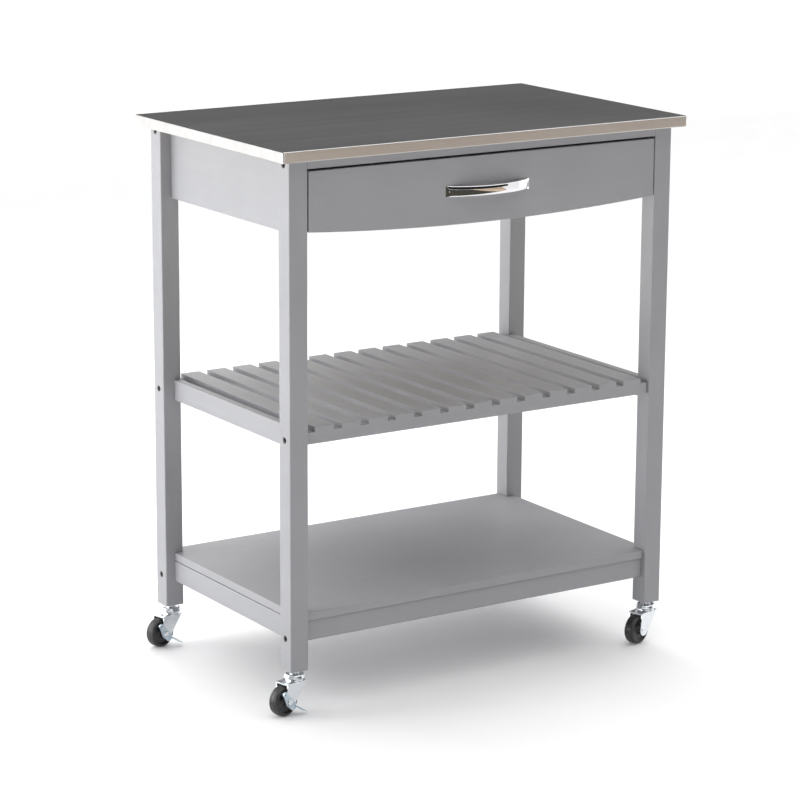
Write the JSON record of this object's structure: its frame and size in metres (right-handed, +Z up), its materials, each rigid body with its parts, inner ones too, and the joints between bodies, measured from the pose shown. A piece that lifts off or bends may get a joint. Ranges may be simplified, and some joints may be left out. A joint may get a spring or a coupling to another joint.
{
  "type": "rolling kitchen cart",
  "caption": "Grey wooden rolling cart with a steel-clad worktop, a drawer with a bow handle, a slatted middle shelf, a solid lower shelf and swivel casters.",
  "frame": {"origin": "on the floor, at the centre of the footprint's box, casters and handle included", "axes": "+X to the right along the front, -Y towards the user at the drawer, +Z up"},
  "size_m": [0.7833, 0.482, 0.903],
  "materials": {
    "steel_top": "brushed along the width, satin",
    "fibreboard": "raw fibreboard",
    "painted_wood": "cool grey satin lacquer over pine",
    "bare_wood": "bare pine and beech",
    "drawer_box": "clear-sealed plywood",
    "slide_steel": "white epoxy powder coat",
    "nylon": "natural nylon",
    "chrome_handle": "polished chrome plate",
    "black_bolt": "black oxide",
    "wheel_black": "moulded, dull black",
    "zinc_plate": "bright zinc plate",
    "screw_steel": "zinc plated"
  },
  "bodies": {
    "frame": {"worktop_skin": "steel_top", "worktop_core": "fibreboard", "leg_front_left": "painted_wood", "leg_front_right": "painted_wood", "leg_back_left": "painted_wood", "leg_back_right": "painted_wood", "side_apron_left": "painted_wood", "side_apron_right": "painted_wood", "back_apron": "painted_wood", "front_top_rail": "painted_wood", "worktop_cleats": "bare_wood", "slide_channel_left": "slide_steel", "slide_channel_right": "slide_steel", "mid_rail_left": "painted_wood", "mid_rail_right": "painted_wood", "mid_rail_front": "painted_wood", "mid_rail_back": "painted_wood", "mid_slats": "painted_wood", "low_rail_left": "painted_wood", "low_rail_right": "painted_wood", "low_rail_front": "painted_wood", "low_rail_back": "painted_wood", "low_board": "painted_wood", "frame_screws": "screw_steel", "frame_bolts": "black_bolt", "barrel_nuts": "screw_steel", "frame_dowels": "bare_wood", "caster_stems": "zinc_plate", "caster_balls": "zinc_plate", "caster_cap_front_left": "zinc_plate", "caster_cap_front_right": "zinc_plate", "caster_cap_back_left": "zinc_plate", "caster_cap_back_right": "zinc_plate"},
    "drawer": {"slide_runner_left": "slide_steel", "slide_runner_right": "slide_steel", "drawer_front": "painted_wood", "drawer_side_left": "drawer_box", "drawer_side_right": "drawer_box", "drawer_back": "drawer_box", "drawer_bottom": "drawer_box", "drawer_handle": "chrome_handle", "drawer_screws": "screw_steel"},
    "roller_front_left": {"roller_front_left": "nylon"},
    "roller_front_right": {"roller_front_right": "nylon"},
    "roller_rear_left": {"roller_rear_left": "nylon"},
    "roller_rear_right": {"roller_rear_right": "nylon"},
    "fork_front_left": {"caster_fork_front_left": "zinc_plate", "caster_axle_front_left": "zinc_plate"},
    "wheel_front_left": {"caster_wheel_front_left": "wheel_black"},
    "brake_front_left": {"brake_lever_front_left": "zinc_plate"},
    "fork_front_right": {"caster_fork_front_right": "zinc_plate", "caster_axle_front_right": "zinc_plate"},
    "wheel_front_right": {"caster_wheel_front_right": "wheel_black"},
    "fork_back_left": {"caster_fork_back_left": "zinc_plate", "caster_axle_back_left": "zinc_plate"},
    "wheel_back_left": {"caster_wheel_back_left": "wheel_black"},
    "brake_back_left": {"brake_lever_back_left": "zinc_plate"},
    "fork_back_right": {"caster_fork_back_right": "zinc_plate", "caster_axle_back_right": "zinc_plate"},
    "wheel_back_right": {"caster_wheel_back_right": "wheel_black"}
  },
  "joints": [
    {"name": "drawer_slide", "type": "slide", "parent": "frame", "child": "drawer", "axis": [0, -1, 0], "range_m": [0, 0.26]},
    {"name": "roller_front_left_spin", "type": "hinge", "parent": "frame", "child": "roller_front_left", "pos_m": [-0.31899, -0.19, 0.7941], "axis": [1, 0, 0], "range_deg": [-10, 1880]},
    {"name": "roller_front_right_spin", "type": "hinge", "parent": "frame", "child": "roller_front_right", "pos_m": [0.33301, -0.19, 0.7941], "axis": [1, 0, 0], "range_deg": [-10, 1880]},
    {"name": "roller_rear_left_spin", "type": "hinge", "parent": "drawer", "child": "roller_rear_left", "pos_m": [-0.31899, 0.138, 0.7941], "axis": [1, 0, 0], "range_deg": [-10, 1880]},
    {"name": "roller_rear_right_spin", "type": "hinge", "parent": "drawer", "child": "roller_rear_right", "pos_m": [0.33301, 0.138, 0.7941], "axis": [1, 0, 0], "range_deg": [-10, 1880]},
    {"name": "swivel_front_left", "type": "hinge", "parent": "frame", "child": "fork_front_left", "pos_m": [-0.34149, -0.2025, 0.0543], "axis": [0, 0, 1], "continuous": true},
    {"name": "spin_front_left", "type": "hinge", "parent": "fork_front_left", "child": "wheel_front_left", "pos_m": [-0.36575, -0.20855, 0.025], "axis": [-0.2419, 0.9703, 0], "continuous": true},
    {"name": "brake_front_left", "type": "hinge", "parent": "fork_front_left", "child": "brake_front_left", "pos_m": [-0.36575, -0.20855, 0.025], "axis": [0.2419, -0.9703, 0], "range_deg": [0, 30]},
    {"name": "swivel_front_right", "type": "hinge", "parent": "frame", "child": "fork_front_right", "pos_m": [0.35551, -0.2025, 0.0543], "axis": [0, 0, 1], "continuous": true},
    {"name": "spin_front_right", "type": "hinge", "parent": "fork_front_right", "child": "wheel_front_right", "pos_m": [0.3316, -0.20981, 0.025], "axis": [-0.2924, 0.9563, 0], "continuous": true},
    {"name": "swivel_back_left", "type": "hinge", "parent": "frame", "child": "fork_back_left", "pos_m": [-0.34149, 0.2085, 0.0543], "axis": [0, 0, 1], "continuous": true},
    {"name": "spin_back_left", "type": "hinge", "parent": "fork_back_left", "child": "wheel_back_left", "pos_m": [-0.36575, 0.20245, 0.025], "axis": [-0.2419, 0.9703, 0], "continuous": true},
    {"name": "brake_back_left", "type": "hinge", "parent": "fork_back_left", "child": "brake_back_left", "pos_m": [-0.36575, 0.20245, 0.025], "axis": [0.2419, -0.9703, 0], "range_deg": [0, 30]},
    {"name": "swivel_back_right", "type": "hinge", "parent": "frame", "child": "fork_back_right", "pos_m": [0.35551, 0.2085, 0.0543], "axis": [0, 0, 1], "continuous": true},
    {"name": "spin_back_right", "type": "hinge", "parent": "fork_back_right", "child": "wheel_back_right", "pos_m": [0.33097, 0.20373, 0.025], "axis": [-0.1908, 0.9816, 0], "continuous": true}
  ],
  "couplings": [
    {"joint": "roller_front_left_spin", "follows": "drawer_slide", "rad_per_m": 125},
    {"joint": "roller_front_right_spin", "follows": "drawer_slide", "rad_per_m": 125},
    {"joint": "roller_rear_left_spin", "follows": "drawer_slide", "rad_per_m": 125},
    {"joint": "roller_rear_right_spin", "follows": "drawer_slide", "rad_per_m": 125}
  ]
}
